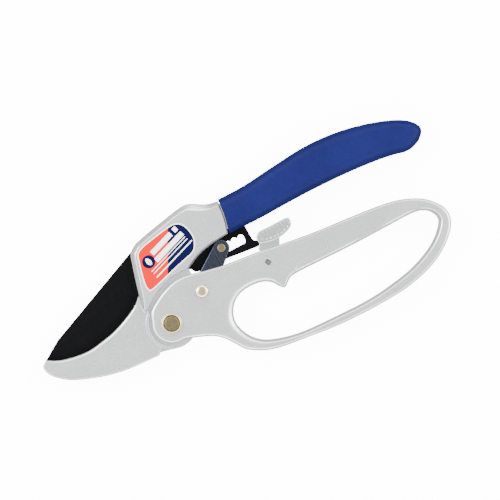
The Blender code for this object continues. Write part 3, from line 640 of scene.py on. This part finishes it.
def grip_outline(roll, end_roll, front):
    """The sleeve's outline, begun at the given distance from the main pivot."""
    top = rolled([(54.0, 43.0), (62.0, 43.7), (75.2, 45.5), (91.5, 47.3), (106.6, 47.0), (120.9, 44.7)], roll)
    end = [(134.2, 40.7), (142.0, 36.4), (145.3, 31.4), (143.1, 27.3), (138.2, 24.6), (133.6, 24.3)]
    bottom = [(129.1, 25.3), (119.6, 26.5), (104.7, 27.3), (89.4, 27.4), (73.9, 26.9), (63.2, 26.3)]
    line = smooth(top + rolled(end, end_roll) + rolled(bottom + [(54.0, 26.0)], roll))
    return line + rolled([(front, 26.1), (front, 42.6)], roll)


def inside_grip(wall, front, end):
    """The grip's outline moved in by a wall, and ended short of the handle's end."""
    moved = inset(wound(grip_outline(0.0, 0.0, front), True), 0.0, wall)
    return [p for p in moved if p[0] < end]


def head_edge():
    """The head's outline: a broad sloping wall at the nose and top, a crisp edge over the lobe."""
    rim = rolled([(42.1, 26.3), (43.4, 31.0), (44.2, 37.0), (44.3, 42.0)], 0.6)
    top = [(44.2, 42.2, 1.6), (40.8, 42.6, 2.6), (37.4, 43.8, 3.2), (33.4, 46.0, 3.4), (30.0, 47.2, 2.9)]
    top += [(25.4, 46.9, 2.6), (16.8, 45.0, 2.5), (8.2, 43.0, 2.4), (1.1, 41.0, 2.4)]
    nose = [(0.3, 40.6, 2.4), (-3.0, 37.9, 2.4), (-4.5, 33.5, 2.4), (-6.6, 25.2, 2.4), (-8.4, 17.6, 2.3)]
    nose += [(-9.7, 12.4, 1.6), (-9.9, 11.2, 0.9)]
    recess = [(-9.0, 9.4), (-6.3, 11.2), (-2.0, 14.4), (3.2, 17.2), (8.7, 19.0), (13.5, 19.5), (18.0, 19.5)]
    lower = rolled([(18.8, 19.7), (22.3, 21.7), (27.2, 23.8), (32.4, 25.1)], 0.9)
    return smooth(rim) + smooth(top) + smooth(nose) + smooth(rolled(recess, 0.7)) + smooth(lower)


def hook_edge():
    """The hook's outline: its long lower edge, its tip, its curved inner edge and its ring."""
    bottom = rolled([(-12.0, -11.1), (-25.8, -10.7), (-33.1, -9.9), (-41.4, -8.1), (-52.6, -4.2)], 0.9)
    tip = [(-58.5, -0.6, 1.0), (-61.8, 2.6, 1.0), (-63.3, 5.6, 0.9), (-63.4, 8.4, 0.6), (-62.2, 10.0, 0.4)]
    inner = [(-61.0, 10.3, 0.5), (-55.3, 7.5, 1.4)]
    inner += rolled([(-48.4, 5.9), (-40.9, 5.4), (-34.3, 6.4), (-27.4, 8.0)], 1.5)
    inner += [(-20.8, 10.5, 1.5), (-14.7, 13.5, 1.3), (-11.0, 15.9, 0.5), (-8.6, 18.4, 0.1)]
    ring = arc(MAIN_PIVOT, 10.9, 132.0, 222.0, 0.5)
    return smooth(bottom + tip)[:-1] + smooth(inner) + ring


def head_levels(back, front):
    """A wall that slopes in from the side and turns over softly at the flat face."""
    levels = [(0.0, 0.0, back), (0.0, 0.0, front - 2.1), (0.06, 0.0, front - 1.75), (0.2, 0.0, front - 1.45)]
    levels += [(0.62, 0.0, front - 0.6), (0.78, 0.0, front - 0.3), (0.9, 0.0, front - 0.1), (1.0, 0.0, front)]
    return levels


def upper_handle():
    """The casting with the head, the hook, the collar, the tongue and the tang."""
    handle = plate("upper_handle", [(head_edge(), head_levels(PLATE_BACK, HEAD_FRONT))])
    weld(handle, plate("hook", [(hook_edge(), rim_levels(PLATE_BACK, HOOK_FRONT, 1.1, 0.3, 0.3))]))
    # The thin collar that runs on from the nose round the lobe.
    collar = arc(MAIN_PIVOT, 12.4, 131.0, 248.0, 0.4) + arc(MAIN_PIVOT, 10.8, 247.0, 132.0, 0.3)
    collar_rim = rim_levels(PLATE_BACK + 0.4, HOOK_FRONT + 0.7, 0.7, 0.0, 0.0, 3)
    weld(handle, plate("collar", [(collar, collar_rim)]))
    floor = [(18.3, 19.8), (18.3, 15.0), (8.0, 8.0), (-8.0, 4.0), (-12.5, 4.0), (-12.5, 15.0), (-4.0, 19.0)]
    weld(handle, prism("recess_floor", floor, PLATE_BACK, PLATE_FRONT))
    neck = arc(MAIN_PIVOT, 12.1, -60.0, -108.0)
    neck += [(-12.0, -9.8), (-24.0, -9.6), (-26.0, -4.0), (-17.0, 3.0), (-10.0, 6.0)]
    weld(handle, prism("neck", neck, TONGUE_BACK, PLATE_FRONT))
    weld(handle, prism("tongue", circle(MAIN_PIVOT, LOBE_RADIUS), TONGUE_BACK, PLATE_FRONT))
    wall = 2.2
    weld(handle, prism("tang", inside_grip(wall, 34.0, 130.0), wall, GRIP_FRONT - wall))
    tail = [(30.0, 20.0), (53.7, 20.0), (53.7, 30.4), (30.0, 30.4)]
    cut(handle, prism("tail_room", tail, -PAST, PLATE_BACK))
    cut(handle, prism("bore", circle(MAIN_PIVOT, 4.4), -PAST, GRIP_FRONT))
    finish_piece(handle, SILVER, "upper_handle", "upper_handle_casting")


upper_handle()


def grip_sleeve():
    """The dipped sleeve: a hollow skin with rounded sides and a slot for the blade's tail."""
    rim = rim_levels(0.0, GRIP_FRONT, 4.6, 4.6, 3.6, 8)
    sleeve = plate("grip_sleeve_skin", [(grip_outline(5.0, 3.6, 28.0), rim)])
    # The mouth follows a curve across the handle.
    mouth = smooth(rolled([(42.4, 18.0), (42.7, 26.0), (43.9, 32.0), (44.6, 37.7), (44.7, 52.0)], 0.0))
    mouth += rolled([(10.0, 52.0), (10.0, 18.0)], 0.0)
    cut(sleeve, prism("mouth", mouth, -PAST, GRIP_FRONT + PAST))
    wall = 1.8
    cut(sleeve, prism("cavity", inside_grip(wall, 20.0, 132.0), wall, GRIP_FRONT - wall))
    tail = [(38.0, 22.0), (54.0, 22.0), (54.0, 30.0), (38.0, 30.0)]
    cut(sleeve, prism("tail_slot", tail, BLADE_BACK - BLADE_ROOM, BLADE_FRONT + BLADE_ROOM))
    soften(sleeve, 0.4, 3, 60.0)
    finish_piece(sleeve, BLUE, "upper_handle", "grip_sleeve", angle=50.0)


grip_sleeve()


def label_sticker():
    """The label, printed on its flat face inside a narrow unprinted border."""
    points = [(-0.1, 36.3), (3.5, 38.3), (8.8, 39.6), (18.5, 41.5), (22.4, 41.2), (25.3, 39.0)]
    points += [(26.9, 34.4), (26.8, 30.0), (23.9, 25.6), (18.0, 23.7), (12.6, 22.1), (-0.6, 18.0)]
    points += [(-2.7, 18.3), (-3.5, 20.7), (-3.0, 25.0), (-1.6, 31.5)]
    outline = smooth(rolled(points, 0.0), closed=True)
    border = 0.55
    levels = [(0.0, 0.0, LABEL_BACK), (0.0, 0.0, LABEL_FRONT - 0.1), (0.0, 0.08, LABEL_FRONT)]
    levels.append((0.0, border, LABEL_FRONT))
    sticker = plate("label_sticker", [(outline, levels)])
    finish_piece(sticker, BORDER, "upper_handle", "label")
    sticker.data.materials.append(PRINT)
    for face in sticker.data.polygons:
        if len(face.vertices) == 3 and face.normal.z > FACING_UP:
            face.material_index = 1


label_sticker()


# ---------------------------------------------------------------- blade

def blade():
    """The blade: a ground front, a bore for its rivet, and a slot with notches for the ratchet pin."""
    spine = [(-61.0, 10.2), (-52.2, 16.2), (-3.3, 38.4)]
    shoulder = [(0.5, 39.0), (6.0, 37.2), (14.0, 33.2), (30.0, 29.6), (50.2, 28.4)]
    tail = [(50.8, 27.4), (51.2, 19.3), (51.9, 17.9), (53.3, 17.3), (53.4, 15.4), (52.4, 14.6)]
    bottom = [(37.2, 15.8), (30.0, 16.8), (25.0, 16.4), (22.0, 16.2), (20.2, 17.0), (19.2, 18.6)]
    bottom.append((16.9, 20.0))
    hub = arc(BLADE_PIVOT, 9.0, -42.0, -110.0)
    edge = [(-3.4, 16.4), (-9.5, 13.5), (-14.7, 10.4), (-20.8, 7.6), (-27.4, 5.2), (-34.3, 3.6)]
    edge += [(-40.9, 3.0), (-48.4, 3.4), (-55.3, 5.6)]
    outline = rolled(spine + shoulder + tail + bottom + hub + smooth(rolled(edge, 0.0)), 0.0)
    # The first notch, the slot's floor, and the two notches past it.
    slot = arc(NOTCH, 1.45, 110.0, 235.0)
    slot += rolled([(38.0, 18.6), (47.1, 18.8), (47.9, 19.2), (48.1, 20.4)], 0.0)
    slot += arc((46.6, 21.9), 1.5, 0.0, 165.0) + arc((43.3, 22.1), 1.4, 20.0, 160.0)
    slot += arc((39.9, 21.9), 1.4, 20.0, 160.0)
    rim = [(0.0, 0.15, BLADE_BACK), (0.0, 0.0, BLADE_BACK + 0.15)]
    rim += [(0.0, 0.0, BLADE_FRONT - 0.2), (0.0, 0.2, BLADE_FRONT)]
    steel = plate("cutting_blade", [(outline, rim), (slot, square_levels(BLADE_BACK, BLADE_FRONT))])
    # Ground on the front from the tip back to the head, deeper with the distance from the grind's line.
    grind = [(-16.3, 23.8), (-6.0, 14.6), (4.0, -4.0), (-40.0, -20.0), (-78.0, -10.0), (-74.0, 6.8)]
    corner = grind[0]
    slope = 0.09
    wheel = prism("grind", grind, BLADE_FRONT, BLADE_FRONT + 4)
    for vertex in wheel.data.vertices:
        if vertex.co.z < (BLADE_FRONT + PAST) * MM:
            away = (vertex.co.x / MM - corner[0]) * 0.282 - (vertex.co.y / MM - corner[1]) * 0.959
            vertex.co.z -= slope * max(away, 0.0) * MM
    cut(steel, wheel)
    cut(steel, prism("bore", circle(BLADE_PIVOT, 2.8), 0.0, GRIP_FRONT))
    finish_piece(steel, BLACK, "blade", "blade", angle=20.0)


blade()


# ---------------------------------------------------------------- rivets, washer and pins

def main_washer():
    """The bright cup washer, domed outside and dished inside."""
    seat = WASHER_SEAT
    outside = [(5.0, seat), (5.0, seat + 0.35), (4.9, seat + 0.75), (4.7, seat + 1.1), (4.4, seat + 1.38)]
    inside = [(4.15, seat + 1.5), (3.98, seat + 1.5), (3.86, seat + 1.38), (3.8, seat + 1.1)]
    inside.append((3.8, seat + 0.6))
    profile = [(3.3, seat)] + outside + inside + [(3.3, seat + 0.2)]
    washer = turned("cup_washer", MAIN_PIVOT, profile, 96)
    finish_piece(washer, NICKEL, "upper_handle", "main_cup_washer")


def main_rivet():
    """The main rivet: a flat head sunk in the back, and a dull peened end inside the washer."""
    seat = WASHER_SEAT
    profile = [(0.0, 0.0), (4.7, 0.0), (4.9, 0.1), (5.0, 0.3), (5.0, 1.1), (3.0, 1.1), (3.0, seat + 0.5)]
    profile += [(3.5, seat + 0.9), (3.5, seat + 1.0), (3.42, seat + 1.12), (3.25, seat + 1.18)]
    profile += [(2.4, seat + 1.16), (0.0, seat + 1.12)]
    rivet = turned("main_rivet", MAIN_PIVOT, profile, 96)
    finish_piece(rivet, NICKEL, "upper_handle", "main_pivot_rivet")
    rivet.data.materials.append(RIVET_END)
    peened_from = seat + 1.05
    for face in rivet.data.polygons:
        if face.center.z > peened_from * MM:
            face.material_index = 1


def link_rivet():
    """The link's rivet: a flat head sunk in the back, and a domed end on the front."""
    seat = WASHER_SEAT
    profile = [(0.0, 0.1), (3.0, 0.1), (3.2, 0.3), (3.2, 1.1), (2.0, 1.1), (2.0, seat)]
    profile += [(3.1, seat)] + dome(3.2, seat + 0.15, seat + 1.35)[:-1] + [(0.0, seat + 1.35)]
    rivet = turned("link_rivet", LINK_PIVOT, profile)
    finish_piece(rivet, NICKEL, "lower_handle", "link_pivot_rivet", angle=60.0)


def notch_pin():
    """The pin that runs in the blade's slot, headed outside each link plate."""
    profile = [(0.0, 1.5), (1.7, 1.65), (1.95, 1.9), (2.0, 2.2), (2.0, 2.6), (1.0, 2.6), (1.0, 9.6)]
    profile += [(2.0, 9.6), (2.0, 10.1), (1.93, 10.3), (1.75, 10.42), (1.2, 10.46), (0.0, 10.48)]
    pin = turned("ratchet_pin", NOTCH, profile, 48)
    finish_piece(pin, RIVET_END, "link", "notch_pin")


main_washer()
main_rivet()
link_rivet()
notch_pin()


# ---------------------------------------------------------------- link

def link_side(name, node, back):
    """A blanked plate with a rounded sheared edge, wide at the rivet and narrow at the pin."""
    front = back + 1.6
    wide, narrow, roll = 5.2, 3.8, 0.55
    line = math.degrees(math.atan2(NOTCH[1] - LINK_PIVOT[1], NOTCH[0] - LINK_PIVOT[0]))
    lean = math.degrees(math.acos((wide - narrow) / math.dist(LINK_PIVOT, NOTCH)))
    outline = arc(LINK_PIVOT, wide, line + lean, line + 360.0 - lean, roll)
    outline += arc(NOTCH, narrow, line - lean, line + lean, roll)
    rim = rim_levels(back, front, 0.45, 0.3, 0.3, 4)
    hole = square_levels(back, front)
    side = plate(name, [(outline, rim), (circle(LINK_PIVOT, 2.3), hole), (circle(NOTCH, 1.3), hole)])
    finish_piece(side, ZINC_PLATE, "link", node)


link_side("link_front", "link_front_plate", PLATE_BACK)
link_side("link_back", "link_back_plate", TONGUE_BACK)


# ---------------------------------------------------------------- thumb lock

def rib_troughs(lock):
    """Cuts the slanted troughs that leave the pad's grip ribs standing inside a rim."""
    width = 0.78
    lean = math.radians(7.0)
    bpy.ops.object.select_all(action="DESELECT")
    bpy.ops.mesh.primitive_cube_add(size=1.0)
    pattern = bpy.context.object
    pattern.name = "trough"
    edit(pattern)
    bpy.ops.mesh.select_all(action="SELECT")
    bpy.ops.mesh.bevel(offset=0.12, segments=2)
    leave()
    # Each trough's place along the pad, and its lower and upper ends.
    troughs = [(55.2, 16.9, 19.5), (57.2, 16.0, 19.7), (59.1, 15.6, 19.8), (61.0, 15.4, 19.9)]
    troughs += [(62.9, 15.4, 20.0), (64.8, 15.6, 20.0), (66.7, 16.2, 20.1), (68.5, 16.9, 20.1)]
    troughs.append((70.0, 18.2, 19.9))
    for x, low, high in troughs:
        tool = pattern.copy()
        tool.data = pattern.data.copy()
        bpy.context.scene.collection.objects.link(tool)
        tool.scale = (width * MM, (high - low) * MM, width * MM)
        # Stood on an edge, so that each trough is a V.
        tool.rotation_euler = (0.0, math.radians(45.0), lean)
        tool.location = (x * MM, (low + high) / 2 * MM, LOCK_FRONT * MM)
        select_only(tool)
        bpy.ops.object.transform_apply(location=True, rotation=True, scale=True)
        cut(lock, tool)
    bpy.data.objects.remove(pattern)


def thumb_lock():
    """The lock: a ribbed pad on a stem, bored for its pin and spring, with a catch for the blade's tail."""
    points = [(54.8, 20.6), (62.0, 20.9), (69.5, 21.1), (70.9, 20.7), (71.3, 19.4), (71.2, 17.8)]
    points += [(70.3, 16.5), (68.6, 15.5), (66.3, 14.6), (63.0, 14.0), (59.9, 14.0), (56.3, 14.6)]
    points += [(53.7, 15.3), (53.0, 16.5), (53.1, 18.3)]
    pad = smooth(rolled(points, 0.55), closed=True)
    lock = plate("lock_lever", [(pad, rim_levels(LOCK_BACK, LOCK_FRONT, 0.5, 0.5, 0.6, 4))])
    stem = arc(LOCK_PIVOT, 3.2, 150.0, 345.0)
    stem += [(61.9, 11.4), (63.4, 14.6), (60.0, 17.0), (53.6, 16.2), (51.8, 13.4), (51.9, 11.0)]
    weld(lock, plate("stem", [(rolled(stem, 0.3), rim_levels(TONGUE_BACK, PLATE_FRONT, 0.3, 0.2, 0.2, 3))]))
    rib_troughs(lock)
    cut(lock, prism("spring_room", circle(LOCK_PIVOT, 3.5), 0.0, 4.9))
    cut(lock, prism("bore", circle(LOCK_PIVOT, 1.75), 0.0, BODY_FRONT))
    catch = [(50.0, 30.0), (50.0, 12.9), (57.0, 12.9), (57.0, 18.1), (54.0, 18.1), (54.0, 30.0)]
    cut(lock, prism("tail_room", catch, BLADE_BACK - BLADE_ROOM, BLADE_FRONT + BLADE_ROOM))
    finish_piece(lock, CHROME, "thumb_lock", "thumb_lock")


thumb_lock()


# ---------------------------------------------------------------- pieces kept as they come

KEPT = [
    (PIN_STEEL, ["lock_pin", "main_pivot_bush", "link_bush", "blade_thrust_washer", "blade_back_washer"]),
    (NICKEL, ["blade_pivot_rivet"]),
    (WIRE, ["opening_spring", "link_spring", "lock_spring"]),
]
for material, names in KEPT:
    for name in names:
        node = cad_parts[name]
        node.data.materials.clear()
        node.data.materials.append(material)


# ---------------------------------------------------------------- light table, lamps and camera

VIEW_CENTRE = (0.048, 0.0148)
VIEW_TURN = -26.0
VIEW_WIDTH = 0.235
LENS = 150.0
SENSOR_WIDTH = 36.0

# Brightness of the tent's zones, against 1 for plain white paper in full light.
TENT_BELOW = 0.9
TENT_HORIZON = 0.5
TENT_BELT = 7.0
TENT_TOP = 1.15


def light_table():
    """A wide sheet a hair below the shears."""
    gap = 0.2 * MM
    bpy.ops.object.select_all(action="DESELECT")
    bpy.ops.mesh.primitive_plane_add(size=3.0, location=(VIEW_CENTRE[0], 0.015, -gap))
    table = bpy.context.object
    table.name = "light_table"
    # Opal acrylic sheet lit from below, which keeps shadows faint.
    glow = {"Roughness": 0.7, "Emission Color": linear("#FFFFFF"), "Emission Strength": 11.0}
    material, shader = new_finish("opal_sheet", glow)
    place = add(material, "ShaderNodeTexCoord").outputs["Object"]
    # The sheet's haze varies over 400 mm.
    haze = add(material, "ShaderNodeTexNoise", {"Vector": place, "Scale": grain_of(400.0), "Detail": 1.0})
    tones = {"Factor": haze.outputs["Fac"], 6: linear("#F4F4F4"), 7: linear("#FAFAFA")}
    colour = add(material, "ShaderNodeMix", tones, data_type="RGBA")
    connect(material, colour.outputs[2], shader, "Base Color")
    table.data.materials.append(material)
    # The sheet itself is blinding, so from below the shears mirror only the tent round them.
    table.visible_glossy = False
    table.visible_diffuse = False


def lamp(name, place, size, power):
    """A soft box aimed at the middle of the shears."""
    target = Vector((0.045, 0.01, 0.0))
    bpy.ops.object.select_all(action="DESELECT")
    bpy.ops.object.light_add(type="AREA", location=place)
    light = bpy.context.object
    light.name = name
    light.data.shape = "RECTANGLE"
    light.data.size, light.data.size_y = size
    light.data.energy = power
    aim = target - Vector(place)
    light.rotation_euler = aim.to_track_quat("-Z", "Y").to_euler()


def light_tent():
    """A white tent: grey below and at the horizon, a bright belt half way up, softer overhead."""
    tent = bpy.data.worlds.new("light_tent")
    tent.use_nodes = True
    place = add(tent, "ShaderNodeTexCoord").outputs["Generated"]
    height = add(tent, "ShaderNodeSeparateXYZ", {0: place}).outputs[2]
    share = add(tent, "ShaderNodeMapRange", {"Value": height, "From Min": -1.0, "From Max": 1.0})
    ramp = add(tent, "ShaderNodeValToRGB", {"Fac": share.outputs[0]})
    bands = [(0.0, TENT_BELOW), (0.46, TENT_BELOW), (0.52, TENT_HORIZON), (0.70, TENT_HORIZON)]
    bands += [(0.76, TENT_BELT), (0.84, TENT_BELT), (0.92, TENT_TOP)]
    while len(ramp.color_ramp.elements) < len(bands):
        ramp.color_ramp.elements.new(0.5)
    # A ramp's colours end at 1, so they are shares of the belt's brightness.
    for element, (position, brightness) in zip(ramp.color_ramp.elements, bands):
        element.position = position
        element.color = (brightness / TENT_BELT,) * 3 + (1.0,)
    glow = add(tent, "ShaderNodeMath", {0: ramp.outputs[0], 1: TENT_BELT}, operation="MULTIPLY")
    background = tent.node_tree.nodes["Background"]
    background.inputs["Color"].default_value = linear("#FFFFFF")
    tent.node_tree.links.new(glow.outputs[0], background.inputs["Strength"])
    bpy.context.scene.world = tent


def studio():
    """The tent round the shears, and two soft boxes high at the left and the right."""
    light_tent()
    lamp("key", (-0.45, 0.45, 0.7), (0.5, 0.4), 9.0)
    lamp("fill", (0.65, -0.1, 0.6), (0.5, 0.5), 5.0)


def camera():
    """Straight above the front face, turned so that the handles rise to the right."""
    grip_middle = 0.009
    height = VIEW_WIDTH * LENS / SENSOR_WIDTH + grip_middle
    bpy.ops.object.select_all(action="DESELECT")
    bpy.ops.object.camera_add(location=(*VIEW_CENTRE, height), rotation=(0.0, 0.0, math.radians(VIEW_TURN)))
    view = bpy.context.object
    view.data.lens = LENS
    view.data.clip_start = 0.05
    view.data.clip_end = 10.0
    bpy.context.scene.camera = view


light_table()
studio()
camera()
